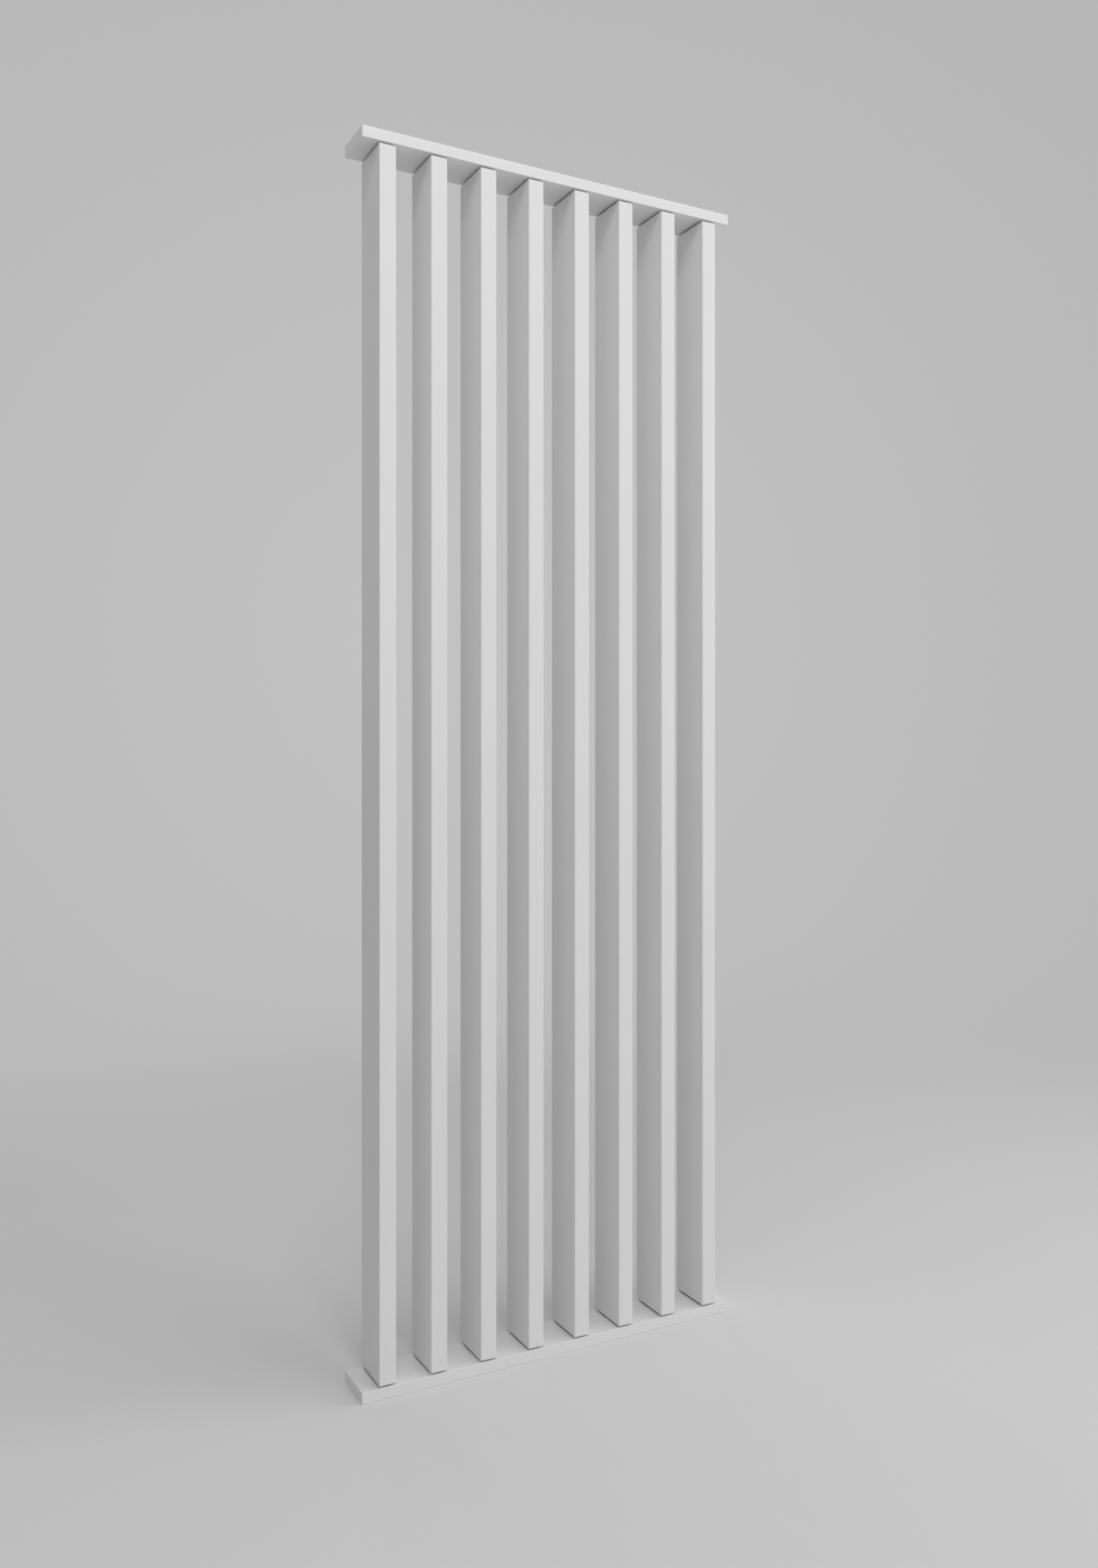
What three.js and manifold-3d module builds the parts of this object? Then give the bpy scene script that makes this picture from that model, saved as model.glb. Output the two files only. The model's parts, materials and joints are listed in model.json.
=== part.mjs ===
// Rotating slat room divider: two plain boards with a row of upright slats between them.
// Each slat turns by itself on a fixed pin at its foot and a sprung pin at its head.
// Millimetres. X runs along the boards, Y through the divider and Z up.
// The origin is at the middle of the floor face.

import * as THREE from 'three';
import { mergeVertices } from 'three/addons/utils/BufferGeometryUtils.js';
import Module from 'manifold-3d';

// ---- Divider and slats
const dividerHeight = 2400; // floor face to ceiling face
const slatCount = 8;
const slatWidth = 100; // through the divider, with the slats open
const slatThickness = 33.5; // along the boards, with the slats open
const slatEdgeRadius = 1.5;
const passingGap = 0.8; // between two neighbours that turn corner to corner

// ---- Boards at the floor and the ceiling
const boardThickness = 22;
const boardEdgeRadius = 1;
const boardEndMargin = 0.75; // board past the row of slats when they are all closed

// ---- Pivot pins and the flanged bushes that they turn in
const pinDiameter = 10;
const pinChamfer = 1;
const pinGrip = 45; // foot pin up inside the slat
const pinCollarWidth = 6; // collar on the foot pin, past its shank
const collarThickness = 1.5; // the same on the foot pin and on the head sleeve
const bushWall = 3;
const bushFlangeWidth = 4; // flange past the tube
const bushFlangeThickness = 2.7;
const pinEndSpace = 2; // between the end of a pin and the end of its bush

// ---- Sprung head pin in its sleeve
const pinShoulder = 1.2; // head past the pin, which keeps the pin in the sleeve
const pinHeadLength = 4;
const pinTailLength = 20; // tail that keeps the spring straight
const pinSunkDepth = 0.7; // pin below the mouth of the sleeve when it is pressed right in
const sleeveWall = 1.7;
const sleeveFloor = 2;
const sleeveCollarWidth = 3; // collar past the tube
const sleeveNeckLength = 6; // part of the sleeve that guides the pin
const springWireDiameter = 1.2;
const springInset = 0.4; // spring inside the edge of the pin's head
const springSlack = 1.6; // between the coils and the tail

// ---- Hidden screw holes that fix each board, under the bushes
const screwHoleDiameter = 5.5;
const screwHeadDiameter = 10.4;
const boardUnderBush = 9; // what the hole for a bush leaves of the board

// ---- Clearances
const liftPlay = 0.3; // slat up and down between its two bushes
const runningClearance = 0.05; // round a pin that turns or slides
const fitClearance = 0.1; // round a piece that is pushed into its hole
const seatGap = 0.02; // film between a piece and the face that it rests on
const holeEndSpace = 1; // empty end of a blind hole

// ---- Roundness of the turned pieces
const pinSides = 16;
const edgeSteps = 3;

// ---- Sizes that follow from the ones above
const swingRadius = slatEdgeRadius
  + Math.hypot(slatWidth / 2 - slatEdgeRadius, slatThickness / 2 - slatEdgeRadius);
const slatPitch = 2 * swingRadius + passingGap;
const rowLength = (slatCount - 1) * slatPitch;
const boardLength = rowLength + slatWidth + 2 * boardEndMargin;
const boardDepth = slatWidth; // the slats stand flush with both long faces
const ceilingSeat = dividerHeight - boardThickness; // underside of the upper board
const bushDiameter = pinDiameter + 2 * bushWall;
const bushFlangeDiameter = bushDiameter + 2 * bushFlangeWidth;
const bushDepth = boardThickness - boardUnderBush - holeEndSpace;
const bushFace = seatGap + bushFlangeThickness; // flange face above its board
const pinReach = bushFlangeThickness + bushDepth - pinEndSpace; // pin past the flange face
const pinCollarDiameter = pinDiameter + 2 * pinCollarWidth;
const pinHeadDiameter = pinDiameter + 2 * pinShoulder;
const pinPressTravel = pinReach + liftPlay + pinSunkDepth;
const chamberDiameter = pinHeadDiameter + 2 * fitClearance;
const sleeveDiameter = chamberDiameter + 2 * sleeveWall;
const sleeveCollarDiameter = sleeveDiameter + 2 * sleeveCollarWidth;
const springRoom = pinTailLength + pinPressTravel + seatGap;
const springDiameter = pinHeadDiameter - 2 * springInset;
const springBore = springDiameter - 2 * springWireDiameter;
const pinTailDiameter = springBore - 2 * springSlack;
const sleeveDepth = sleeveNeckLength + seatGap + pinHeadLength + springRoom + sleeveFloor;
const slatFoot = boardThickness + bushFace + seatGap + collarThickness + seatGap;
const sleeveFace = ceilingSeat - bushFace - liftPlay;
const slatHead = sleeveFace - collarThickness - seatGap;

// ---- Finishes
const finish = (color, roughness, metalness) => () => new THREE.MeshStandardMaterial({
  color,
  roughness,
  metalness,
});
const whiteLacquer = finish('#e0e0e0', 0.45, 0);
const brightSteel = finish('#b9babd', 0.3, 1);
const whiteAcetal = finish('#dcdcd8', 0.5, 0);

// ---- Solid geometry
const manifold = await Module();
manifold.setup();

// The closed solid that a geometry encloses.
function solidOf(geometry) {
  const bare = geometry.clone();
  bare.deleteAttribute('normal');
  bare.deleteAttribute('uv');
  const merged = mergeVertices(bare, 1e-4);
  const mesh = new manifold.Mesh({
    numProp: 3,
    vertProperties: new Float32Array(merged.attributes.position.array),
    triVerts: new Uint32Array(merged.index.array),
  });
  return new manifold.Manifold(mesh);
}

// One geometry with the others cut out of it.
function cut(geometry, ...tools) {
  let solid = solidOf(geometry);
  for (const tool of tools) {
    solid = solid.subtract(solidOf(tool));
  }
  const mesh = solid.getMesh();
  const result = new THREE.BufferGeometry();
  result.setAttribute('position', new THREE.BufferAttribute(mesh.vertProperties, 3));
  result.setIndex(new THREE.BufferAttribute(mesh.triVerts, 1));
  result.computeVertexNormals();
  return result;
}

// A piece turned about the upright axis, from points of radius and height.
function turned(points) {
  const profile = points.map(([radius, height]) => new THREE.Vector2(radius, height));
  return new THREE.LatheGeometry(profile, pinSides).rotateX(Math.PI / 2);
}

// The corner radius at which a turned hole's flats lie a given radius from its axis.
const aroundFlats = (radius) => radius / Math.cos(Math.PI / pinSides);

// A round hole from one height up to another.
function hole(diameter, clearance, from, to) {
  const radius = aroundFlats(diameter / 2 + clearance);
  return turned([[0, from], [radius, from], [radius, to], [0, to]]);
}

// A rectangle centred on the origin, with its four corners rounded.
function roundedRectangle(width, height, radius) {
  const x = width / 2 - radius;
  const y = height / 2 - radius;
  const outline = new THREE.Shape();
  outline.absarc(x, y, radius, 0, Math.PI / 2);
  outline.absarc(-x, y, radius, Math.PI / 2, Math.PI);
  outline.absarc(-x, -y, radius, Math.PI, 1.5 * Math.PI);
  outline.absarc(x, -y, radius, 1.5 * Math.PI, 2 * Math.PI);
  outline.closePath();
  return outline;
}

const prism = (outline, length) => new THREE.ExtrudeGeometry(outline, {
  depth: length,
  bevelEnabled: false,
  curveSegments: edgeSteps,
});

// ---- Pieces, each about its own pivot axis

const pivotX = (index) => (index - (slatCount - 1) / 2) * slatPitch;

// The board, with its bushed face at height 0 and the rest of it below.
function boardGeometry() {
  const alongX = new THREE.Matrix4().makeBasis(
    new THREE.Vector3(0, 1, 0),
    new THREE.Vector3(0, 0, 1),
    new THREE.Vector3(1, 0, 0),
  );
  const section = roundedRectangle(boardDepth, boardThickness, boardEdgeRadius);
  const plank = prism(section, boardLength).applyMatrix4(alongX);
  plank.translate(-boardLength / 2, 0, -boardThickness / 2);
  const holes = [];
  for (let index = 0; index < slatCount; index += 1) {
    holes.push(pivotHole().translate(pivotX(index), 0, 0));
  }
  return cut(plank, ...holes);
}

// The hole for a bush, and under it a countersunk hole for a fixing screw.
function pivotHole() {
  const bushRadius = aroundFlats(bushDiameter / 2 + fitClearance);
  const screwRadius = aroundFlats(screwHoleDiameter / 2);
  const headRadius = aroundFlats(screwHeadDiameter / 2);
  const bushEnd = -(bushDepth + holeEndSpace);
  const sinkEnd = bushEnd - (headRadius - screwRadius);
  const past = 1;
  return turned([
    [0, -boardThickness - past],
    [screwRadius, -boardThickness - past],
    [screwRadius, sinkEnd],
    [headRadius, bushEnd],
    [bushRadius, bushEnd],
    [bushRadius, past],
    [0, past],
  ]);
}

// The slat, from its foot to its head, bored for the foot pin and for the head sleeve.
function slatGeometry() {
  const outline = roundedRectangle(slatThickness, slatWidth, slatEdgeRadius);
  const blank = prism(outline, slatHead - slatFoot).translate(0, 0, slatFoot);
  const past = 1;
  const footBore = hole(pinDiameter, fitClearance, slatFoot - past, slatFoot + pinGrip + holeEndSpace);
  const headBoreDepth = sleeveDepth - collarThickness + holeEndSpace;
  const headBore = hole(sleeveDiameter, fitClearance, slatHead - headBoreDepth, slatHead + past);
  return cut(blank, footBore, headBore);
}

// A flanged bush whose flange rests on the board at height 0, with its tube below.
function bushGeometry() {
  const bore = aroundFlats(pinDiameter / 2 + runningClearance);
  const tube = bushDiameter / 2;
  const flange = bushFlangeDiameter / 2;
  return turned([
    [bore, -bushDepth],
    [tube, -bushDepth],
    [tube, 0],
    [flange, 0],
    [flange, bushFlangeThickness],
    [bore, bushFlangeThickness],
    [bore, -bushDepth],
  ]);
}

// The foot pin. Its collar carries the slat at height 0 and turns on the bush below.
function footPinGeometry() {
  const radius = pinDiameter / 2;
  const collar = pinCollarDiameter / 2;
  const end = -collarThickness - pinReach;
  return turned([
    [0, end],
    [radius - pinChamfer, end],
    [radius, end + pinChamfer],
    [radius, -collarThickness],
    [collar, -collarThickness],
    [collar, 0],
    [radius, 0],
    [radius, pinGrip - pinChamfer],
    [radius - pinChamfer, pinGrip],
    [0, pinGrip],
  ]);
}

// The sleeve for the head pin, with its mouth at height 0 and closed at the bottom.
function sleeveGeometry() {
  const outer = sleeveDiameter / 2;
  const collar = sleeveCollarDiameter / 2;
  const neck = aroundFlats(pinDiameter / 2 + runningClearance);
  const chamber = aroundFlats(chamberDiameter / 2);
  return turned([
    [0, -sleeveDepth],
    [outer, -sleeveDepth],
    [outer, -collarThickness],
    [collar, -collarThickness],
    [collar, 0],
    [neck, 0],
    [neck, -sleeveNeckLength],
    [chamber, -sleeveNeckLength],
    [chamber, -sleeveDepth + sleeveFloor],
    [0, -sleeveDepth + sleeveFloor],
  ]);
}

// The sprung head pin, measured from the mouth of its sleeve, with its nose up in the bush.
function headPinGeometry() {
  const radius = pinDiameter / 2;
  const head = pinHeadDiameter / 2;
  const tail = pinTailDiameter / 2;
  const nose = liftPlay + pinReach;
  const headTop = -sleeveNeckLength - seatGap;
  const headEnd = headTop - pinHeadLength;
  return turned([
    [0, headEnd - pinTailLength],
    [tail, headEnd - pinTailLength],
    [tail, headEnd],
    [head, headEnd],
    [head, headTop],
    [radius, headTop],
    [radius, nose - 2 * pinChamfer],
    [radius - 2 * pinChamfer, nose],
    [0, nose],
  ]);
}

// The spring under the head of the pin, as the space that its coils take up.
function springGeometry() {
  const inner = springBore / 2;
  const outer = springDiameter / 2;
  const end = -sleeveDepth + sleeveFloor + seatGap;
  const top = end + springRoom - 2 * seatGap;
  return turned([[inner, end], [outer, end], [outer, top], [inner, top], [inner, end]]);
}

// ---- Assembly

function piece(name, geometry, material) {
  const mesh = new THREE.Mesh(geometry, material);
  mesh.name = name;
  return mesh;
}

// Sets a piece with its own height 0 at a height, turned over where it hangs from above.
function setAt(mesh, height, turnedOver = false) {
  mesh.position.z = height;
  mesh.rotation.x = turnedOver ? Math.PI : 0;
  return mesh;
}

// The slat with everything that turns with it and the two bushes that it turns in.
function slatGroup(index) {
  const number = index + 1;
  const group = new THREE.Group();
  group.position.x = pivotX(index);
  group.add(
    piece(`slat_${number}`, slatGeometry(), whiteLacquer()),
    setAt(piece(`lower_bush_${number}`, bushGeometry(), whiteAcetal()), boardThickness + seatGap),
    setAt(piece(`upper_bush_${number}`, bushGeometry(), whiteAcetal()), ceilingSeat - seatGap, true),
    setAt(piece(`lower_pin_${number}`, footPinGeometry(), brightSteel()), slatFoot - seatGap),
    setAt(piece(`pin_sleeve_${number}`, sleeveGeometry(), brightSteel()), sleeveFace),
    setAt(piece(`upper_pin_${number}`, headPinGeometry(), brightSteel()), sleeveFace),
    setAt(piece(`pin_spring_${number}`, springGeometry(), brightSteel()), sleeveFace),
  );
  return group;
}

const divider = new THREE.Group();
divider.add(setAt(piece('bottom_rail', boardGeometry(), whiteLacquer()), boardThickness));
divider.add(setAt(piece('top_rail', boardGeometry(), whiteLacquer()), ceilingSeat, true));
for (let index = 0; index < slatCount; index += 1) {
  divider.add(slatGroup(index));
}

export default divider;
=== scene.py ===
"""Rotating slat room divider: two white boards with a row of upright slats that turn between them.

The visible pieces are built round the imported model, in metres and in its frame. X runs along
the boards, Y through the divider and Z up from the floor face.
"""

import itertools
import json
import math

import bmesh
import bpy
from mathutils import Matrix, Vector


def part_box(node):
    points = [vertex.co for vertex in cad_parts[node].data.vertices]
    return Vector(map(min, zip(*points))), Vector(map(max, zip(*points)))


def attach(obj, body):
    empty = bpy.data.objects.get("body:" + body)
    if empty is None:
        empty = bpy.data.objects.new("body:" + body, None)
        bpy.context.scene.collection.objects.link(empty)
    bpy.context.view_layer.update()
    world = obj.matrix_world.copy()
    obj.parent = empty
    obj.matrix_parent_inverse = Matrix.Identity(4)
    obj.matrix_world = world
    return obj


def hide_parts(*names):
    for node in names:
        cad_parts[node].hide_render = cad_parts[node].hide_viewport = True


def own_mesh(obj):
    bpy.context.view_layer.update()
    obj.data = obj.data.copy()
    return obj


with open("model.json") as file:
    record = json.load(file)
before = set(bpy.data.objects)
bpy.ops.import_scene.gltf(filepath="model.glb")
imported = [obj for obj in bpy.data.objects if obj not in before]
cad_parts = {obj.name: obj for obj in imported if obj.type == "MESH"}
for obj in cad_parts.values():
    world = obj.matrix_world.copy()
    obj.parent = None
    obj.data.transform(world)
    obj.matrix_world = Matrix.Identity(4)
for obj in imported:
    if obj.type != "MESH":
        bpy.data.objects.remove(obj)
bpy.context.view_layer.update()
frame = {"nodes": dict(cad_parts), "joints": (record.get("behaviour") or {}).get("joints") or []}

bl_info = {
    "name": "Rotating Slat Room Divider",
    "version": (1, 0, 0),
    "blender": (4, 5, 0),
    "location": "3D View > Sidebar > Slat Divider",
    "description": "Builds a room divider of upright slats that turn between two boards",
    "category": "Object",
}

JOINTS = {joint["name"]: joint for joint in frame["joints"]}
SLAT_NUMBERS = range(1, 1 + sum(name.startswith("slat_") for name in frame["nodes"]))

LAMPS = ("left", "high", "side", "right", "back")

# How finely the pieces are rounded.
ARC_STEPS = 5  # faces round a quarter of an edge
EASE_STEPS = 2  # faces round an eased corner of a turned piece
EASE_LIMIT = 3  # an eased corner takes at most one part in so many of each face that it joins
QUARTER_SIDES = 12  # faces round a quarter of a turned piece or a hole
ROUND_SIDES = 4 * QUARTER_SIDES
SHORT_SIDE_POINTS = 4  # points between two corners of a slat, on its narrow face
LONG_SIDE_POINTS = ROUND_SIDES // 2 - 2 * (ARC_STEPS + 1) - SHORT_SIDE_POINTS
WIRE_SIDES = 10  # faces round the wire of a spring
STEPS_PER_COIL = 28  # faces along one turn of the wire
STAGE_SIDES = 128  # faces round the floor and the backdrop
COVE_STEPS = 32  # faces up the bend between the floor and the wall
SHARP_ANGLE = math.radians(35)  # faces that meet at a larger angle keep a crisp edge
WELD_DISTANCE = 1e-6  # points closer than this become one

SEAT_FILM = 0.00002  # gap between two pieces that rest on each other
FLOOR_GAP = 0.0002  # gap between the lower board and the floor
SHEEN_FINENESS = 3  # how many times finer the changes of gloss are than those of tone
SENSOR_WIDTH = 36.0  # width of the camera's sensor, in millimetres
VIEW_RANGE = 50.0  # how far the camera sees, in metres

# The outline of a groove: how far along from one groove to the next, and how deep.
GROOVE_OUTLINE = ((0.3, 0), (0.42, 1), (0.58, 1), (0.7, 0))

# Sockets of a node that mixes two colours, which share their names with others.
MIX_SHARE, MIX_FIRST, MIX_SECOND, MIX_RESULT = 0, 6, 7, 2


# ---- Settings


def length(name, description, default):
    """A length that a user can change."""
    return bpy.props.FloatProperty(
        name=name,
        description=description,
        default=default,
        min=0.0,
        precision=5,
        subtype="DISTANCE",
        unit="LENGTH",
    )


def share(name, description, default):
    """A number from 0 to 1."""
    return bpy.props.FloatProperty(
        name=name, description=description, default=default, min=0.0, max=1.0, subtype="FACTOR"
    )


def colour(name, description, default):
    """A linear colour."""
    return bpy.props.FloatVectorProperty(
        name=name,
        description=description,
        default=default,
        min=0.0,
        max=1.0,
        size=3,
        subtype="COLOR",
    )


def position(name, description, default):
    """A place in the scene."""
    return bpy.props.FloatVectorProperty(
        name=name, description=description, default=default, subtype="TRANSLATION", unit="LENGTH"
    )


def wattage(name, description, default):
    """The power of a lamp."""
    return bpy.props.FloatProperty(
        name=name, description=description, default=default, min=0.0, unit="POWER"
    )


class BoardSizes(bpy.types.PropertyGroup):
    """Sizes of the boards at the floor and the ceiling."""

    edge_radius: length("Edge radius", "Round of the long edges", 0.001)
    end_radius: length("End radius", "Round of the edges at both ends", 0.0006)
    hole_lead_in: length("Hole lead-in", "Bevel at the mouth of each hole", 0.0004)
    bush_hole: length("Bush hole", "Diameter of the hole for a bush", 0.0162)
    bush_hole_depth: length("Bush hole depth", "Depth of the hole for a bush", 0.013)
    screw_head: length("Screw head", "Width of the countersink for a fixing screw", 0.0104)
    screw_hole: length("Screw hole", "Diameter of the hole for a fixing screw", 0.0055)


class SlatSizes(bpy.types.PropertyGroup):
    """Sizes of a slat."""

    edge_radius: length("Edge radius", "Round of the long edges", 0.0015)
    end_radius: length("End radius", "Round of the edges at the head and the foot", 0.0006)
    bore_lead_in: length("Bore lead-in", "Bevel at the mouth of each bore", 0.0004)
    foot_bore: length("Foot bore", "Diameter of the bore for the foot pin", 0.0102)
    foot_bore_depth: length("Foot bore depth", "Depth of the bore for the foot pin", 0.046)
    head_bore: length("Head bore", "Diameter of the bore for the sleeve", 0.0162)
    head_bore_spare: length("Head bore spare", "Bore left below the sleeve", 0.001)
    # Painted shade: the slat ends are painted dark, except in this margin next to the narrow faces.
    painted_shade_margin: length("Overspray", "Lacquer on the ends of a slat, next to its narrow faces", 0.01)


class HardwareSizes(bpy.types.PropertyGroup):
    """Sizes of the pins, bushes, sleeves and springs."""

    easing: length("Easing", "Size of the round on every turned corner", 0.00025)
    pin_diameter: length("Pin diameter", "Diameter of the pins in their bushes", 0.01)
    pin_bevel: length("Pin bevel", "Bevel at the ends of the foot pin and on the tail", 0.001)
    nose_bevel: length("Nose bevel", "Bevel at the nose of the sprung pin", 0.002)
    pin_grip: length("Pin grip", "Length of the foot pin inside the slat", 0.045)
    groove_depth: length("Groove depth", "Depth of the grooves that hold glue", 0.0004)
    groove_collar_gap: length("Groove collar gap", "Plain length between collar and grooves", 0.006)
    groove_end_gap: length("Groove end gap", "Plain length between the grooves and the end", 0.004)
    groove_count: bpy.props.IntProperty(
        name="Groove count", description="Glue grooves on a pin or a sleeve", default=5, min=1
    )
    running_gap: length("Running gap", "Gap round a pin that turns or slides", 0.00005)
    bush_wall: length("Bush wall", "Wall of the bush tube", 0.003)
    flange_thickness: length("Flange thickness", "Thickness of the flange of a bush", 0.0027)
    collar_thickness: length("Collar thickness", "Collar of the foot pin and the sleeve", 0.0015)
    sleeve_diameter: length("Sleeve diameter", "Outside diameter of the sleeve", 0.016)
    sleeve_floor: length("Sleeve floor", "Thickness of the closed end of the sleeve", 0.002)
    chamber_diameter: length("Chamber diameter", "Inside of the sleeve round the spring", 0.0126)
    neck_length: length("Neck length", "Part of the sleeve that guides the pin", 0.006)
    pin_head_length: length("Pin head length", "Length of the wide head of the sprung pin", 0.004)
    pin_tail: length("Pin tail", "Diameter of the tail inside the spring", 0.006)
    spring_wire: length("Spring wire", "Diameter of the wire of the spring", 0.0012)
    spring_coils: bpy.props.IntProperty(
        name="Spring coils", description="Turns of wire in each spring", default=12, min=4, max=15
    )


class Finishes(bpy.types.PropertyGroup):
    """Colours and surface qualities."""

    lacquer: colour("Lacquer", "Colour of the lacquer", (0.745, 0.745, 0.745))
    lacquer_roughness: share("Lacquer roughness", "Low is glossy and high is matt", 0.5)
    cloud_depth: share("Cloud depth", "Strength of the slow changes of tone", 0.012)
    cloud_size: length("Cloud size", "Width of the slow changes of tone", 0.22)
    sheen_depth: share("Sheen depth", "Strength of the changes of gloss", 0.06)
    peel_size: length("Peel size", "Width of the ripples in the sprayed lacquer", 0.0025)
    peel_height: length("Peel height", "Height of the ripples in the sprayed lacquer", 0.000006)
    # Painted highlight: lightens the base colour of the lacquer along each edge.
    arris_painted_highlight: share("Arris lift", "How much lighter the lacquer is along an edge", 0.05)
    arris_gloss: share("Arris gloss", "How much glossier the lacquer is along an edge", 0.05)

    # Painted shade: a near-black colour on the slat ends that stands in for the shade in the gaps
    # under the boards.
    painted_shade_primer: colour("Primer", "Colour of the primed heads and feet of the slats", (0.1, 0.1, 0.1))
    painted_shade_depth: share("Primer depth", "How uneven the tone of the primer is", 0.2)
    painted_shade_dullness: share("Primer dullness", "How much more matt it is than the lacquer", 0.25)

    acetal: colour("Acetal", "Colour of the moulded bushes", (0.71, 0.71, 0.69))
    acetal_roughness: share("Acetal roughness", "Roughness of the plastic, on average", 0.42)
    acetal_depth: share("Acetal depth", "How uneven the tone of the plastic is", 0.06)
    acetal_sheen: share("Acetal sheen", "How uneven the gloss of the plastic is", 0.12)
    acetal_size: length("Acetal size", "Width of the patches of tone in the plastic", 0.006)
    grain_size: length("Grain size", "Width of the grain that the mould leaves", 0.0004)
    grain_height: length("Grain height", "Height of the grain that the mould leaves", 0.000004)

    steel: colour("Steel", "Colour of the turned and plated steel", (0.48, 0.49, 0.51))
    steel_roughness: share("Steel roughness", "Roughness of the plating, on average", 0.32)
    plating_depth: share("Plating depth", "How uneven the tone of the plating is", 0.2)
    plating_sheen: share("Plating sheen", "How uneven the gloss of the plating is", 0.1)
    plating_size: length("Plating size", "Width of the patches in the plating", 0.004)
    tool_mark_size: length("Tool mark size", "Height of one ring left by the turning tool", 0.00025)
    tool_mark_depth: length("Tool mark depth", "Depth of one ring", 0.000008)
    tool_mark_sheen: share("Tool mark sheen", "How uneven the gloss is from ring to ring", 0.06)
    tool_mark_waver: share("Tool mark waver", "How much a ring changes on its way round", 0.02)

    spring_steel: colour("Spring steel", "Colour of the spring wire", (0.33, 0.33, 0.34))
    spring_roughness: share("Spring roughness", "Roughness of the wire, on average", 0.38)
    oil_depth: share("Oil depth", "How much the oil on the wire changes its tone", 0.5)
    oil_sheen: share("Oil sheen", "How much the oil on the wire changes its gloss", 0.2)
    oil_size: length("Oil size", "Width of the patches of oil on the wire", 0.002)
    oil_height: length("Oil height", "Height of the patches of oil on the wire", 0.00001)


class StageSizes(bpy.types.PropertyGroup):
    """The floor, the backdrop, the light and the camera."""

    paper: colour("Floor colour", "Colour of the floor", (0.72, 0.72, 0.72))
    paper_roughness: share("Floor roughness", "Low is glossy and high is matt", 0.9)
    paper_depth: share("Floor cloud depth", "How uneven the tone of the floor is", 0.01)
    paper_size: length("Floor cloud size", "Width of the changes of tone of the floor", 1.8)
    floor_radius: length("Floor radius", "Radius of the lit floor", 2.4)
    fade_start: length("Fade start", "Radius at which the floor starts to fade into the wall", 1.3)
    fade_end: length("Fade end", "Radius at which only the glow of the wall is left", 3.8)
    cove_start: length("Cove start", "Radius at which the backdrop leaves the floor", 2.7)
    cove_radius: length("Cove radius", "Round between the floor and the wall", 1.6)
    wall_height: length("Wall height", "Height of the backdrop", 8.0)
    wall_level: share("Wall level", "Brightness of the wall", 0.42)
    # Painted light: a pool of brighter glow on the wall behind the divider, which fades with
    # distance.
    painted_pool_lift: share("Pool lift", "How much brighter the wall is behind the divider", 0.118)
    painted_pool_place: position("Pool place", "Where the wall is brightest", (1.58, 4.0, 1.9))
    painted_pool_width: length("Pool width", "Distance over which the wall darkens", 4.0)
    sky_level: share("Sky level", "Strength of the soft light from all round", 0.492)
    sky_tilt: bpy.props.FloatVectorProperty(
        name="Sky tilt",
        description="How much stronger the soft light is from the right, the back and above",
        default=(0.18, -0.012, -0.203),
        subtype="XYZ",
    )
    left_power: wattage("Left power", "Power of the high lamp at the front left", 104.0)
    left_size: length("Left size", "Side of the high lamp at the front left", 2.0)
    left_place: position("Left place", "Where the left lamp hangs", (-1.368, -3.759, 6.0))
    high_power: wattage("High power", "Power of the highest lamp, at the front right", 63.0)
    high_size: length("High size", "Side of the highest lamp", 3.0)
    high_place: position("High place", "Where the highest lamp hangs", (3.0, -5.196, 7.0))
    side_power: wattage("Side power", "Power of the weak lamp at the left side", 22.0)
    side_size: length("Side size", "Side of the weak lamp at the left side", 3.0)
    side_place: position("Side place", "Where the weak lamp hangs", (-4.5, -2.5, 4.5))
    right_power: wattage("Right power", "Power of the wide lamp at the right", 142.0)
    right_size: length("Right size", "Side of the wide lamp at the right", 3.5)
    right_place: position("Right place", "Where the right lamp stands", (5.438, -2.536, 2.0))
    back_power: wattage("Back power", "Power of the wide lamp behind the divider", 43.0)
    back_size: length("Back size", "Side of the wide lamp behind the divider", 3.5)
    back_place: position("Back place", "Where the back lamp stands", (0.0, 6.0, 3.0))
    lamp_target: position("Lamp target", "What the lamps point at", (0.0, 0.0, 1.3))
    camera_place: position("Camera place", "Where the camera stands", (-1.2081, -2.2739, 1.2211))
    camera_turn: bpy.props.FloatProperty(
        name="Camera turn",
        description="How far the camera is turned to the right of straight ahead",
        default=math.radians(28.0376),
        subtype="ANGLE",
        unit="ROTATION",
    )
    camera_lens: bpy.props.FloatProperty(
        name="Camera lens", description="Focal length in millimetres", default=28.6, unit="CAMERA"
    )
    camera_drop: bpy.props.FloatProperty(
        name="Camera drop",
        description="Vertical shift of the lens, as a share of the picture's long side",
        default=-0.01955,
    )


class DividerSettings(bpy.types.PropertyGroup):
    """Everything about the divider that a user can change."""

    board: bpy.props.PointerProperty(type=BoardSizes)
    slat: bpy.props.PointerProperty(type=SlatSizes)
    hardware: bpy.props.PointerProperty(type=HardwareSizes)
    finish: bpy.props.PointerProperty(type=Finishes)
    stage: bpy.props.PointerProperty(type=StageSizes)


# ---- Shader maths


class Wire:
    """The output of a node, which can be added, multiplied and so on."""

    def __init__(self, tree, socket):
        self.tree = tree
        self.socket = socket

    def __add__(self, other):
        return self.tree.maths("ADD", self, other)

    def __radd__(self, other):
        return self.tree.maths("ADD", other, self)

    def __sub__(self, other):
        return self.tree.maths("SUBTRACT", self, other)

    def __rsub__(self, other):
        return self.tree.maths("SUBTRACT", other, self)

    def __mul__(self, other):
        return self.tree.maths("MULTIPLY", self, other)

    def __rmul__(self, other):
        return self.tree.maths("MULTIPLY", other, self)

    def __truediv__(self, other):
        return self.tree.maths("DIVIDE", self, other)

    def __rtruediv__(self, other):
        return self.tree.maths("DIVIDE", other, self)


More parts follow.
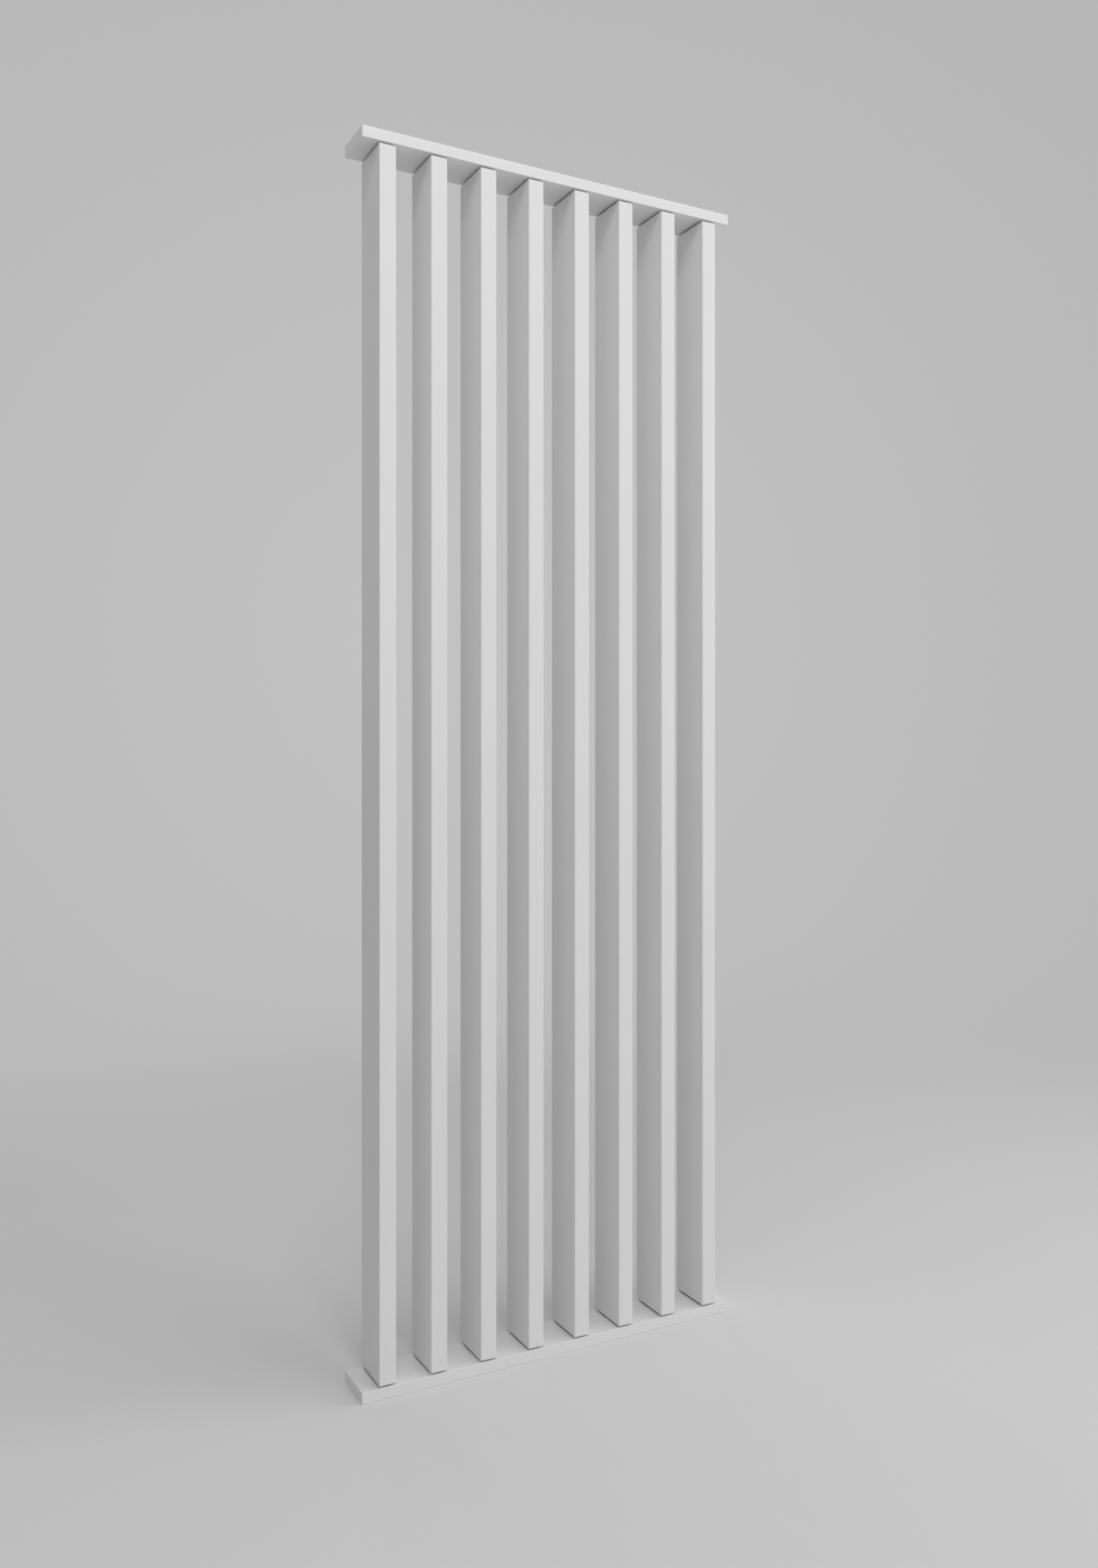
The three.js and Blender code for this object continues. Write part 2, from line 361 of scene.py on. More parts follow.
class Shader:
    """The node tree of a material or of the sky, under construction."""

    def __init__(self, owner):
        owner.use_nodes = True
        self.nodes = owner.node_tree.nodes
        self.links = owner.node_tree.links
        self.nodes.clear()

    def node(self, kind, settings=None, sockets=None, output=0):
        """Adds a node: its settings first, then the values or links of its inputs."""
        node = self.nodes.new(kind)
        for name, value in (settings or {}).items():
            setattr(node, name, value)
        for name, value in (sockets or {}).items():
            if isinstance(value, Wire):
                self.links.new(value.socket, node.inputs[name])
            else:
                node.inputs[name].default_value = value
        return Wire(self, node.outputs[output]) if node.outputs else None

    def maths(self, operation, first, second):
        """One sum on two numbers."""
        return self.node("ShaderNodeMath", {"operation": operation}, {0: first, 1: second})

    def place(self):
        """Where a point lies on its piece, in metres."""
        return self.node("ShaderNodeTexCoord", output="Object")

    def vector(self, operation, first, second):
        """One sum on two vectors, such as a distance."""
        output = "Value" if operation in ("DISTANCE", "DOT_PRODUCT") else "Vector"
        return self.node(
            "ShaderNodeVectorMath", {"operation": operation}, {0: first, 1: second}, output
        )

    def noise(self, place, width, detail=1.0):
        """Soft random changes from -0.5 to 0.5 that are about so wide."""
        sockets = {"Vector": place, "Scale": 1.0 / width, "Detail": detail}
        return self.node("ShaderNodeTexNoise", sockets=sockets) - 0.5

    def mark(self, name):
        """A number that the mesh keeps at each of its points."""
        return self.node("ShaderNodeAttribute", {"attribute_name": name}, output="Fac")

    def blend(self, mask, first, second):
        """The first colour where the mask is 0, and the second where it is 1."""
        sockets = {MIX_SHARE: mask, MIX_FIRST: first, MIX_SECOND: second}
        return self.node("ShaderNodeMix", {"data_type": "RGBA"}, sockets, MIX_RESULT)

    def tinted(self, tint, level):
        """A colour made lighter or darker by a level."""
        sockets = {0: (*tint,), "Scale": level}
        return self.node("ShaderNodeVectorMath", {"operation": "SCALE"}, sockets)

    def bump(self, changes, height):
        """The normal of a surface with ripples of a height."""
        return self.node("ShaderNodeBump", sockets={"Height": changes, "Distance": height})


class Surface(Shader):
    """A material that is put together from nodes."""

    def __init__(self, name):
        self.material = bpy.data.materials.get(name) or bpy.data.materials.new(name)
        super().__init__(self.material)

    def shaded(self, **sockets):
        """Ends the material with a Principled shader that has these inputs."""
        named = {name.replace("_", " "): value for name, value in sockets.items()}
        shader = self.node("ShaderNodeBsdfPrincipled", sockets=named)
        self.node("ShaderNodeOutputMaterial", sockets={"Surface": shader})
        return self.material


def white_lacquer(finish):
    """Sprayed satin lacquer: slow changes of tone, a fine ripple and a painted highlight that makes
    the edges lighter.

    The heads and feet of the slats and their bores are painted near-black as shade for the gaps
    under the boards, but for a lacquered margin next to the narrow faces.
    """
    surface = Surface("white_lacquer")
    place = surface.place()
    cloud = surface.noise(place, finish.cloud_size, detail=2.0)
    sheen = surface.noise(place, finish.cloud_size / SHEEN_FINENESS)
    peel = surface.noise(place, finish.peel_size)
    arris = surface.mark("arris")
    primed = surface.mark("primed")
    # The level holds random tone and the painted highlight along the edges.
    level = 1 + cloud * finish.cloud_depth + arris * finish.arris_painted_highlight
    lacquer = surface.tinted(finish.lacquer, level)
    # Painted shade: the dark colour of the slat ends and their bores.
    painted_shade_primer = surface.tinted(finish.painted_shade_primer, 1 + sheen * finish.painted_shade_depth)
    gloss = arris * finish.arris_gloss - primed * finish.painted_shade_dullness
    return surface.shaded(
        Base_Color=surface.blend(primed, lacquer, painted_shade_primer),
        Roughness=finish.lacquer_roughness + sheen * finish.sheen_depth - gloss,
        Normal=surface.bump(peel, finish.peel_height),
    )


def moulded_acetal(finish):
    """Natural white plastic with a faintly uneven sheen."""
    surface = Surface("moulded_acetal")
    place = surface.place()
    cloud = surface.noise(place, finish.acetal_size, detail=2.0)
    grain = surface.noise(place, finish.grain_size)
    return surface.shaded(
        Base_Color=surface.tinted(finish.acetal, 1 + cloud * finish.acetal_depth),
        Roughness=finish.acetal_roughness + cloud * finish.acetal_sheen,
        Normal=surface.bump(grain, finish.grain_height),
    )


def turned_steel(finish):
    """Plated steel with the fine rings of the turning tool round its axis."""
    surface = Surface("turned_steel")
    place = surface.place()
    waver = finish.tool_mark_waver
    upright = surface.vector("MULTIPLY", place, (waver, waver, 1.0))
    rings = surface.noise(upright, finish.tool_mark_size, detail=2.0)
    plating = surface.noise(place, finish.plating_size, detail=3.0)
    sheen = plating * finish.plating_sheen + rings * finish.tool_mark_sheen
    return surface.shaded(
        Base_Color=surface.tinted(finish.steel, 1 + plating * finish.plating_depth),
        Metallic=1.0,
        Roughness=finish.steel_roughness + sheen,
        Normal=surface.bump(rings, finish.tool_mark_depth),
    )


def spring_steel(finish):
    """Drawn wire, darker than the plated pieces and a little oily."""
    surface = Surface("spring_steel")
    oil = surface.noise(surface.place(), finish.oil_size, detail=3.0)
    return surface.shaded(
        Base_Color=surface.tinted(finish.spring_steel, 1 + oil * finish.oil_depth),
        Metallic=1.0,
        Roughness=finish.spring_roughness + oil * finish.oil_sheen,
        Normal=surface.bump(oil, finish.oil_height),
    )


def studio_paper(stage):
    """Matt paper on the floor, which fades into a wall with a glow of its own and a painted pool of
    light behind the divider.
    """
    surface = Surface("studio_paper")
    place = surface.place()
    cloud = surface.noise(place, stage.paper_size)
    on_plan = surface.vector("MULTIPLY", place, (1, 1, 0))
    out = surface.vector("DISTANCE", on_plan, (0, 0, 0))
    fade = surface.node(
        "ShaderNodeMapRange",
        {"interpolation_type": "SMOOTHSTEP"},
        {"Value": out, "From Min": stage.fade_start, "From Max": stage.fade_end},
    )
    # Painted light: the glow of the wall is lifted round one place behind the divider.
    away = surface.vector("DISTANCE", place, stage.painted_pool_place) / stage.painted_pool_width
    glow = stage.wall_level + stage.painted_pool_lift / (1 + away * away)
    surface.material.cycles.emission_sampling = "NONE"
    return surface.shaded(
        Base_Color=surface.tinted(stage.paper, (1 + cloud * stage.paper_depth) * (1 - fade)),
        Roughness=stage.paper_roughness,
        Specular_IOR_Level=0.0,
        Emission_Color=surface.tinted((1, 1, 1), glow * fade),
        Emission_Strength=1.0,
    )


# ---- Mesh building


class Skin:
    """A closed mesh under construction, made of rings of points that are joined by faces.

    Each point keeps how near it is to the middle of an arris, from 0 to 1, and whether it is
    painted dark as shade.
    """

    def __init__(self):
        self.mesh = bmesh.new()
        self.arris = self.mesh.verts.layers.float.new("arris")
        self.primed = self.mesh.verts.layers.float.new("primed")

    def ring(self, points, arris=None):
        """Adds one ring of points."""
        ring = [self.mesh.verts.new(point) for point in points]
        for vertex, value in zip(ring, arris or ()):
            vertex[self.arris] = value
        return ring

    def paint_shade(self, *rings):
        """Marks rings of points to be painted dark as shade instead of lacquered."""
        for vertex in itertools.chain(*rings):
            vertex[self.primed] = 1.0

    def circle(self, centre, radius, height, start=0.0):
        """Adds a level circle about an upright axis through the centre."""
        turns = [start + 2 * math.pi * side / ROUND_SIDES for side in range(ROUND_SIDES)]
        return self.ring(
            [
                (centre.x + radius * math.cos(turn), centre.y + radius * math.sin(turn), height)
                for turn in turns
            ]
        )

    def strip(self, first, second, closed=True):
        """Joins two rings by a strip of faces."""
        count = len(first)
        for here in range(count if closed else count - 1):
            there = (here + 1) % count
            self.mesh.faces.new((first[here], first[there], second[there], second[here]))

    def loft(self, rings, closed=True):
        """Joins each ring to the next one."""
        for first, second in zip(rings, rings[1:]):
            self.strip(first, second, closed)

    def cap(self, *rings):
        """Closes rings with a flat face each."""
        for ring in rings:
            self.mesh.faces.new(ring)

    def turn(self, profile, centre):
        """Adds a solid of revolution. Its radius and height run from the axis back to the axis."""
        rings = [
            self.circle(centre, radius, height) for radius, height in profile if radius > 0
        ]
        self.loft(rings)
        self.cap(rings[0], rings[-1])

    def made(self, name, material, place=None):
        """Ends the mesh and puts it in the scene as a smooth piece with crisp edges."""
        bmesh.ops.remove_doubles(self.mesh, verts=self.mesh.verts, dist=WELD_DISTANCE)
        if place:
            self.mesh.transform(place)
        bmesh.ops.recalc_face_normals(self.mesh, faces=self.mesh.faces)
        if self.mesh.calc_volume(signed=True) < 0:
            bmesh.ops.reverse_faces(self.mesh, faces=self.mesh.faces)
        data = bpy.data.meshes.new(name)
        self.mesh.to_mesh(data)
        self.mesh.free()
        data.shade_smooth()
        data.set_sharp_from_angle(angle=SHARP_ANGLE)
        data.materials.append(material)
        made = new_object(name, data)
        weighted = made.modifiers.new("even_faces", "WEIGHTED_NORMAL")
        weighted.keep_sharp = True
        return made


def new_object(name, data):
    """An object in the scene, in place of an older one of the same name."""
    old = bpy.data.objects.get(name)
    if old:
        bpy.data.objects.remove(old)
    made = bpy.data.objects.new(name, data)
    bpy.context.scene.collection.objects.link(made)
    return made


def quarter(steps=ARC_STEPS):
    """Angles from 0 to a right angle."""
    return [math.pi / 2 * step / steps for step in range(steps + 1)]


def eased(profile, size, closed=False):
    """The profile of a turned piece with a small round on each of its corners."""
    points = [Vector(point) for point in profile]
    soft = []
    for index, corner in enumerate(points):
        if not closed and index in (0, len(points) - 1):
            soft.append(corner)
            continue
        back = points[index - 1] - corner
        ahead = points[(index + 1) % len(points)] - corner
        cut = min(size, back.length / EASE_LIMIT, ahead.length / EASE_LIMIT)
        start = corner + back.normalized() * cut
        end = corner + ahead.normalized() * cut
        for step in range(EASE_STEPS + 1):
            way = step / EASE_STEPS
            soft.append(start * (1 - way) ** 2 + corner * 2 * way * (1 - way) + end * way**2)
    return soft


def fitted(piece, body, node):
    """Ties a piece to the body that it moves with, and hides the node that it stands for."""
    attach(piece, body)
    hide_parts(node)
    return piece


def pivot(number):
    """The axis that a slat turns about, at the floor face."""
    return Vector(JOINTS[f"slat_{number}_turn"]["pos_m"])


def even(first, last, steps):
    """Numbers that run evenly from the first to the last."""
    return [first + (last - first) * step / steps for step in range(steps + 1)]


# ---- Boards


class BoardForm:
    """The form of a board that lies with its bushed face at height 0."""

    def __init__(self, low, high, sizes):
        self.half_length = (high.x - low.x) / 2
        self.half_depth = (high.y - low.y) / 2
        self.thickness = high.z - low.z
        self.edge_radius = sizes.edge_radius
        self.end_radius = sizes.end_radius
        self.flat = self.half_depth - self.edge_radius

    def cells(self, pivots):
        """Where the stretch of board under each slat starts and ends."""
        middles = [(left.x + right.x) / 2 for left, right in zip(pivots, pivots[1:])]
        end = self.end_radius - self.half_length
        bounds = [end, *middles, -end]
        return list(zip(bounds, bounds[1:]))

    def edge(self, side, along, inset=0):
        """Points down a long edge, and how near each is to the middle of an arris."""
        radius = self.edge_radius
        left = radius - inset
        upper = (-radius, left, reversed(quarter()))
        lower = (radius - self.thickness, -left, quarter())
        points, arris = [], []
        for base, rise, turns in (upper, lower):
            for turn in turns:
                out = self.flat + left * math.cos(turn)
                points.append((along, side * out, base + rise * math.sin(turn)))
                arris.append(math.sin(2 * turn))
        return points, arris


def board_edges(skin, form, cells):
    """The long edges of a board, in step with the faces round its holes."""
    for side in (1, -1):
        rings = []
        for left, right in cells:
            for along in even(left, right, QUARTER_SIDES):
                rings.append(skin.ring(*form.edge(side, along)))
        for first, second in zip(rings, rings[1:]):
            if first[0].co.x < second[0].co.x - WELD_DISTANCE:
                skin.strip(first, second, closed=False)


def board_faces(skin, form, cells, pivots, sizes):
    """The two flat faces of a board, with a stepped hole through them under each slat."""
    lead = sizes.hole_lead_in
    hole, head, screw = sizes.bush_hole / 2, sizes.screw_head / 2, sizes.screw_hole / 2
    shoulder = -sizes.bush_hole_depth
    profile = [
        (hole + lead, 0),
        (hole, -lead),
        (hole, shoulder),
        (head, shoulder),
        (screw, shoulder - (head - screw)),
        (screw, lead - form.thickness),
        (screw + lead, -form.thickness),
    ]
    first_corner = math.pi / 4
    for centre, (left, right) in zip(pivots, cells):
        across = even(form.flat, -form.flat, QUARTER_SIDES)
        along = even(right, left, QUARTER_SIDES)
        border = [(x, form.flat) for x in along[:-1]]
        border += [(left, y) for y in across[:-1]]
        border += [(x, -form.flat) for x in reversed(along[1:])]
        border += [(right, y) for y in reversed(across[1:])]
        rings = [skin.ring([(x, y, 0) for x, y in border])]
        rings += [skin.circle(centre, *step, start=first_corner) for step in profile]
        rings += [skin.ring([(x, y, -form.thickness) for x, y in border])]
        skin.loft(rings)


def board_ends(skin, form):
    """The two ends of a board, rounded all the way round."""
    between = even(form.flat, -form.flat, QUARTER_SIDES)[1:-1]
    straight = [0.0] * len(between)
    for side in (1, -1):
        rings = []
        for turn in quarter():
            inset = form.end_radius * (1 - math.sin(turn))
            along = side * (form.half_length - form.end_radius * (1 - math.cos(turn)))
            front, front_arris = form.edge(1, along, inset)
            back, back_arris = form.edge(-1, along, inset)
            under = [(along, y, inset - form.thickness) for y in between]
            over = [(along, y, -inset) for y in reversed(between)]
            points = [*front, *under, *reversed(back), *over]
            arris = [*front_arris, *straight, *reversed(back_arris), *straight]
            rings.append(skin.ring(points, [max(value, math.sin(2 * turn)) for value in arris]))
        skin.loft(rings)
        skin.cap(rings[0])


def board(name, node, turned_over, sizes, material):
    """A board with a row of stepped holes, which lies with its bushed face up or down."""
    low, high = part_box(node)
    form = BoardForm(low, high, sizes)
    pivots = [pivot(number) for number in SLAT_NUMBERS]
    cells = form.cells(pivots)
    skin = Skin()
    board_edges(skin, form, cells)
    board_faces(skin, form, cells, pivots, sizes)
    board_ends(skin, form)
    if turned_over:
        place = Matrix.Translation((0, 0, low.z)) @ Matrix.Rotation(math.pi, 4, "X")
    else:
        place = Matrix.Translation((0, 0, high.z))
    return fitted(skin.made(name, material, place), "frame", node)


# ---- Slats


def slat_outline(half_width, half_depth, radius):
    """Points round a slat from its first corner, and how near each is to the middle of an arris."""
    corners, arris = [], []
    for index, (x, y) in enumerate(((1, 1), (-1, 1), (-1, -1), (1, -1))):
        centre = Vector((x * (half_width - radius), y * (half_depth - radius)))
        turns = [math.pi / 2 * index + turn for turn in quarter()]
        corners.append(
            [centre + radius * Vector((math.cos(turn), math.sin(turn))) for turn in turns]
        )
    points = []
    for index, corner in enumerate(corners):
        after = corners[(index + 1) % len(corners)][0]
        between = LONG_SIDE_POINTS if index % 2 else SHORT_SIDE_POINTS
        ways = even(0, 1, between + 1)[1:-1]
        points += [*corner, *(corner[-1].lerp(after, way) for way in ways)]
        arris += [*(math.sin(2 * turn) for turn in quarter()), *([0.0] * between)]
    return points, arris


def slat(number, sizes, material):
    """A slat with eased arrises and the bores for its foot pin and its sleeve."""
    node = f"slat_{number}"
    low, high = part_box(node)
    sleeve_low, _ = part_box(f"pin_sleeve_{number}")
    centre, half = (low + high) / 2, (high - low) / 2
    first_corner = (LONG_SIDE_POINTS + 1) * math.pi / ROUND_SIDES
    skin = Skin()

    def end_rings(face, inward):
        """The round from one end face to the sides."""
        rings = []
        for turn in quarter():
            inset = sizes.end_radius * (1 - math.sin(turn))
            height = face + inward * sizes.end_radius * (1 - math.cos(turn))
            outline, arris = slat_outline(half.x - inset, half.y - inset, sizes.edge_radius - inset)
            points = [(centre.x + point.x, centre.y + point.y, height) for point in outline]
            rings.append(skin.ring(points, [max(value, math.sin(2 * turn)) for value in arris]))
        return rings

    def bore_rings(diameter, face, inward, bottom):
        """A bore, from its mouth to its bottom."""
        radius, lead = diameter / 2, sizes.bore_lead_in
        profile = [(radius + lead, face), (radius, face + inward * lead), (radius, bottom)]
        return [skin.circle(centre, *step, start=first_corner) for step in profile]

    foot_bore = bore_rings(sizes.foot_bore, low.z, 1, low.z + sizes.foot_bore_depth)
    head_bore = bore_rings(sizes.head_bore, high.z, -1, sleeve_low.z - sizes.head_bore_spare)
    foot, head = end_rings(low.z, 1), end_rings(high.z, -1)
    # Painted shade: the bores, and the ends but for a margin at the narrow faces, are painted dark.
    skin.paint_shade(*foot_bore, *head_bore)
    painted_shade_reach = half.y - sizes.painted_shade_margin
    for outline in (foot[0], head[0]):
        skin.paint_shade([vertex for vertex in outline if abs(vertex.co.y - centre.y) < painted_shade_reach])
    skin.loft([*reversed(foot_bore), *foot, *reversed(head), *head_bore])
    skin.cap(foot_bore[-1], head_bore[-1])
    piece = skin.made(f"slat_body_{number}", material)
    return fitted(piece, node, node)


# ---- Hardware


def bush(number, upper, sizes, material):
    """A flanged bush whose flange rests on its board."""
    node = f"upper_bush_{number}" if upper else f"lower_bush_{number}"
    low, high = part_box(node)
    face, end = (low.z, high.z) if upper else (high.z, low.z)
    seat = face + math.copysign(sizes.flange_thickness, end - face)
    bore = sizes.pin_diameter / 2 + sizes.running_gap
    tube = sizes.pin_diameter / 2 + sizes.bush_wall
    flange = (high.x - low.x) / 2
    profile = [(bore, end), (tube, end), (tube, seat), (flange, seat), (flange, face), (bore, face)]
    skin = Skin()
    rings = [
        skin.circle(pivot(number), *step) for step in eased(profile, sizes.easing, closed=True)
    ]
    skin.loft([*rings, rings[0]])
    name = f"head_bush_{number}" if upper else f"foot_bush_{number}"
    return fitted(skin.made(name, material), "frame", node)


def grooves(radius, start, end, sizes):
    """The outline of shallow grooves for glue round a shank or a sleeve, between two heights."""
    pitch = (end - start) / sizes.groove_count
    return [
        (radius - sizes.groove_depth * depth, start + (index + way) * pitch)
        for index in range(sizes.groove_count)
        for way, depth in GROOVE_OUTLINE
    ]


def foot_pin(number, sizes, material):
    """A pin with a collar that carries the slat on the lower bush."""
    node = f"lower_pin_{number}"
    low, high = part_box(node)
    radius, bevel = sizes.pin_diameter / 2, sizes.pin_bevel
    collar, top = (high.x - low.x) / 2, high.z - sizes.pin_grip
    under = top - sizes.collar_thickness
    grooved = (top + sizes.groove_collar_gap, high.z - sizes.groove_end_gap)
    profile = [
        (0, low.z),
        (radius - bevel, low.z),
        (radius, low.z + bevel),
        (radius, under),
        (collar, under),
        (collar, top),
        (radius, top),
        *grooves(radius, *grooved, sizes),
        (radius, high.z - bevel),
        (radius - bevel, high.z),
        (0, high.z),
    ]
    skin = Skin()
    skin.turn(eased(profile, sizes.easing), pivot(number))
    piece = skin.made(f"foot_pin_{number}", material)
    return fitted(piece, f"slat_{number}", node)


def head_sleeve(number, sizes, material):
    """The sleeve in the head of a slat that guides the sprung pin."""
    node = f"pin_sleeve_{number}"
    low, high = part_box(node)
    outer, collar = sizes.sleeve_diameter / 2, (high.x - low.x) / 2
    neck = sizes.pin_diameter / 2 + sizes.running_gap
    chamber = sizes.chamber_diameter / 2
    under = high.z - sizes.collar_thickness
    neck_end = high.z - sizes.neck_length
    floor = low.z + sizes.sleeve_floor
    grooved = (low.z + sizes.groove_end_gap, under - sizes.groove_collar_gap)
    profile = [
        (0, low.z),
        (outer, low.z),
        *grooves(outer, *grooved, sizes),
        (outer, under),
        (collar, under),
        (collar, high.z),
        (neck, high.z),
        (neck, neck_end),
        (chamber, neck_end),
        (chamber, floor),
        (0, floor),
    ]
    skin = Skin()
    skin.turn(eased(profile, sizes.easing), pivot(number))
    piece = skin.made(f"head_sleeve_{number}", material)
    return fitted(piece, f"slat_{number}", node)


def head_pin(number, sizes, material):
    """The sprung pin, with a bevelled nose, a wide head and a tail inside the spring."""
    node = f"upper_pin_{number}"
    low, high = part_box(node)
    _, spring_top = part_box(f"pin_spring_{number}")
    radius, tail = sizes.pin_diameter / 2, sizes.pin_tail / 2
    wide = (high.x - low.x) / 2
    bevel, nose = sizes.pin_bevel, sizes.nose_bevel
    head_low = spring_top.z + SEAT_FILM
    head_high = head_low + sizes.pin_head_length
    profile = [
        (0, low.z),
        (tail - bevel, low.z),
        (tail, low.z + bevel),
        (tail, head_low),
        (wide, head_low),
        (wide, head_high),
        (radius, head_high),
        (radius, high.z - nose),
        (radius - nose, high.z),
        (0, high.z),
    ]
    skin = Skin()
    skin.turn(eased(profile, sizes.easing), pivot(number))
    piece = skin.made(f"head_pin_{number}", material)
    return fitted(piece, f"top_pin_{number}", node)


def head_spring(number, sizes, material):
    """A coil spring with closed ends that the sprung pin presses together."""
    node = f"pin_spring_{number}"
    low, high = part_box(node)
    centre = pivot(number)
    wire = sizes.spring_wire / 2
    coil_radius = (high.x - low.x) / 2 - wire
    coils = sizes.spring_coils
    # One coil at each end is closed, and the others share the rest of the height.
    rise = high.z - low.z - sizes.spring_wire
    closed_rise = sizes.spring_wire
    open_rise = (rise - 2 * closed_rise) / (coils - 2)
    turns = [2 * math.pi * side / WIRE_SIDES for side in range(WIRE_SIDES)]
    skin = Skin()
    rings = []
    for step in range(coils * STEPS_PER_COIL + 1):
        coil = step / STEPS_PER_COIL
        height = min(coil, 1) * closed_rise
        height += min(max(coil - 1, 0), coils - 2) * open_rise
        height += max(coil - coils + 1, 0) * closed_rise
        out = Vector((math.cos(2 * math.pi * coil), math.sin(2 * math.pi * coil), 0))
        middle = Vector((centre.x, centre.y, low.z + wire + height)) + out * coil_radius
        section = [out * math.cos(turn) + Vector((0, 0, math.sin(turn))) for turn in turns]
        rings.append(skin.ring([middle + wire * point for point in section]))
    skin.loft(rings)
    skin.cap(rings[0], rings[-1])
    piece = fitted(skin.made(f"head_spring_{number}", material), f"slat_{number}", node)
    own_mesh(piece)
    return piece


# ---- Floor, backdrop, light and camera


def lathe_sheet(name, profile, material):
    """An open sheet turned about the middle of the scene, with its inside shown."""
    mesh = bmesh.new()
    turns = [2 * math.pi * side / STAGE_SIDES for side in range(STAGE_SIDES)]
    rings = []
    for radius, height in profile:
        if radius > 0:
            points = [(radius * math.cos(turn), radius * math.sin(turn), height) for turn in turns]
            rings.append([mesh.verts.new(point) for point in points])
    for first, second in zip(rings, rings[1:]):
        for here in range(STAGE_SIDES):
            there = (here + 1) % STAGE_SIDES
            mesh.faces.new((first[here], second[here], second[there], first[there]))
    if profile[0][0] == 0:
        mesh.faces.new(rings[0])
    data = bpy.data.meshes.new(name)
    mesh.to_mesh(data)
    mesh.free()
    data.shade_smooth()
    data.materials.append(material)
    made = new_object(name, data)
    return made


def floor_and_backdrop(stage):
    """A level floor that bends up into a round wall. The wall casts no light on matt faces."""
    paper = studio_paper(stage)
    level = -FLOOR_GAP
    edge = stage.floor_radius
    lathe_sheet("studio_floor", [(0, level), (edge / 2, level), (edge, level)], paper)
    start, bend = stage.cove_start, stage.cove_radius
    profile = [(edge, level), ((edge + start) / 2, level), (start, level)]
    for turn in quarter(COVE_STEPS)[1:]:
        profile.append((start + bend * math.sin(turn), level + bend * (1 - math.cos(turn))))
    profile.append((start + bend, stage.wall_height))
    wall = lathe_sheet("studio_backdrop", profile, paper)
    wall.visible_diffuse = False
    wall.visible_shadow = False


def lamp(name, power, size, place, target):
    """A square soft lamp that points at its target and isn't seen itself."""
    light = bpy.data.lights.get(name) or bpy.data.lights.new(name, "AREA")
    light.shape = "SQUARE"
    light.energy = power
    light.size = size
    made = new_object(name, light)
    made.location = place
    aim = Vector(target) - Vector(place)
    made.rotation_euler = aim.to_track_quat("-Z", "Y").to_euler()
    made.visible_camera = False


def sky(stage):
    """Soft light from all round, stronger from one side than from the other."""
    world = bpy.data.worlds.get("studio_sky") or bpy.data.worlds.new("studio_sky")
    shader = Shader(world)
    direction = shader.node("ShaderNodeTexCoord", output="Generated")
    strength = stage.sky_level + shader.vector("DOT_PRODUCT", direction, stage.sky_tilt)
    light = shader.node(
        "ShaderNodeBackground", sockets={"Color": (1, 1, 1, 1), "Strength": strength}
    )
    shader.node("ShaderNodeOutputWorld", sockets={"Surface": light})
    bpy.context.scene.world = world


def camera(stage):
    """The camera, level, with the whole divider in its view."""
    lens = bpy.data.cameras.new("studio_camera")
    lens.lens = stage.camera_lens
    lens.sensor_width = SENSOR_WIDTH
    lens.shift_y = stage.camera_drop
    lens.clip_end = VIEW_RANGE
    made = new_object("studio_camera", lens)
    made.location = stage.camera_place
    made.rotation_euler = (math.pi / 2, 0, -stage.camera_turn)
    bpy.context.scene.camera = made


# ---- Operators


class SLATS_OT_boards(bpy.types.Operator):
    """Build the two boards"""

    bl_idname = "slats.boards"
    bl_label = "Boards"

    def execute(self, context):
        settings = context.scene.slat_divider
        lacquer = white_lacquer(settings.finish)
        board("floor_board", "bottom_rail", False, settings.board, lacquer)
        board("ceiling_board", "top_rail", True, settings.board, lacquer)
        return {"FINISHED"}


class SLATS_OT_slats(bpy.types.Operator):
    """Build the slats"""

    bl_idname = "slats.slats"
    bl_label = "Slats"

    def execute(self, context):
        settings = context.scene.slat_divider
        lacquer = white_lacquer(settings.finish)
        for number in SLAT_NUMBERS:
            slat(number, settings.slat, lacquer)
        return {"FINISHED"}


class SLATS_OT_bushes(bpy.types.Operator):
    """Build the flanged bushes in both boards"""

    bl_idname = "slats.bushes"
    bl_label = "Bushes"

    def execute(self, context):
        settings = context.scene.slat_divider
        acetal = moulded_acetal(settings.finish)
        for number in SLAT_NUMBERS:
            bush(number, False, settings.hardware, acetal)
            bush(number, True, settings.hardware, acetal)
        return {"FINISHED"}


class SLATS_OT_foot_pins(bpy.types.Operator):
    """Build the pins that carry the slats"""

    bl_idname = "slats.foot_pins"
    bl_label = "Foot Pins"

    def execute(self, context):
        settings = context.scene.slat_divider
        steel = turned_steel(settings.finish)
        for number in SLAT_NUMBERS:
            foot_pin(number, settings.hardware, steel)
        return {"FINISHED"}


class SLATS_OT_head_pins(bpy.types.Operator):
    """Build the sprung pins and their sleeves in the heads of the slats"""

    bl_idname = "slats.head_pins"
    bl_label = "Head Pins and Sleeves"

    def execute(self, context):
        settings = context.scene.slat_divider
        steel = turned_steel(settings.finish)
        for number in SLAT_NUMBERS:
            head_sleeve(number, settings.hardware, steel)
            head_pin(number, settings.hardware, steel)
        return {"FINISHED"}


class SLATS_OT_head_springs(bpy.types.Operator):
    """Build the springs under the head pins"""

    bl_idname = "slats.head_springs"
    bl_label = "Head Springs"

    def execute(self, context):
        settings = context.scene.slat_divider
        steel = spring_steel(settings.finish)
        for number in SLAT_NUMBERS:
            head_spring(number, settings.hardware, steel)
        return {"FINISHED"}


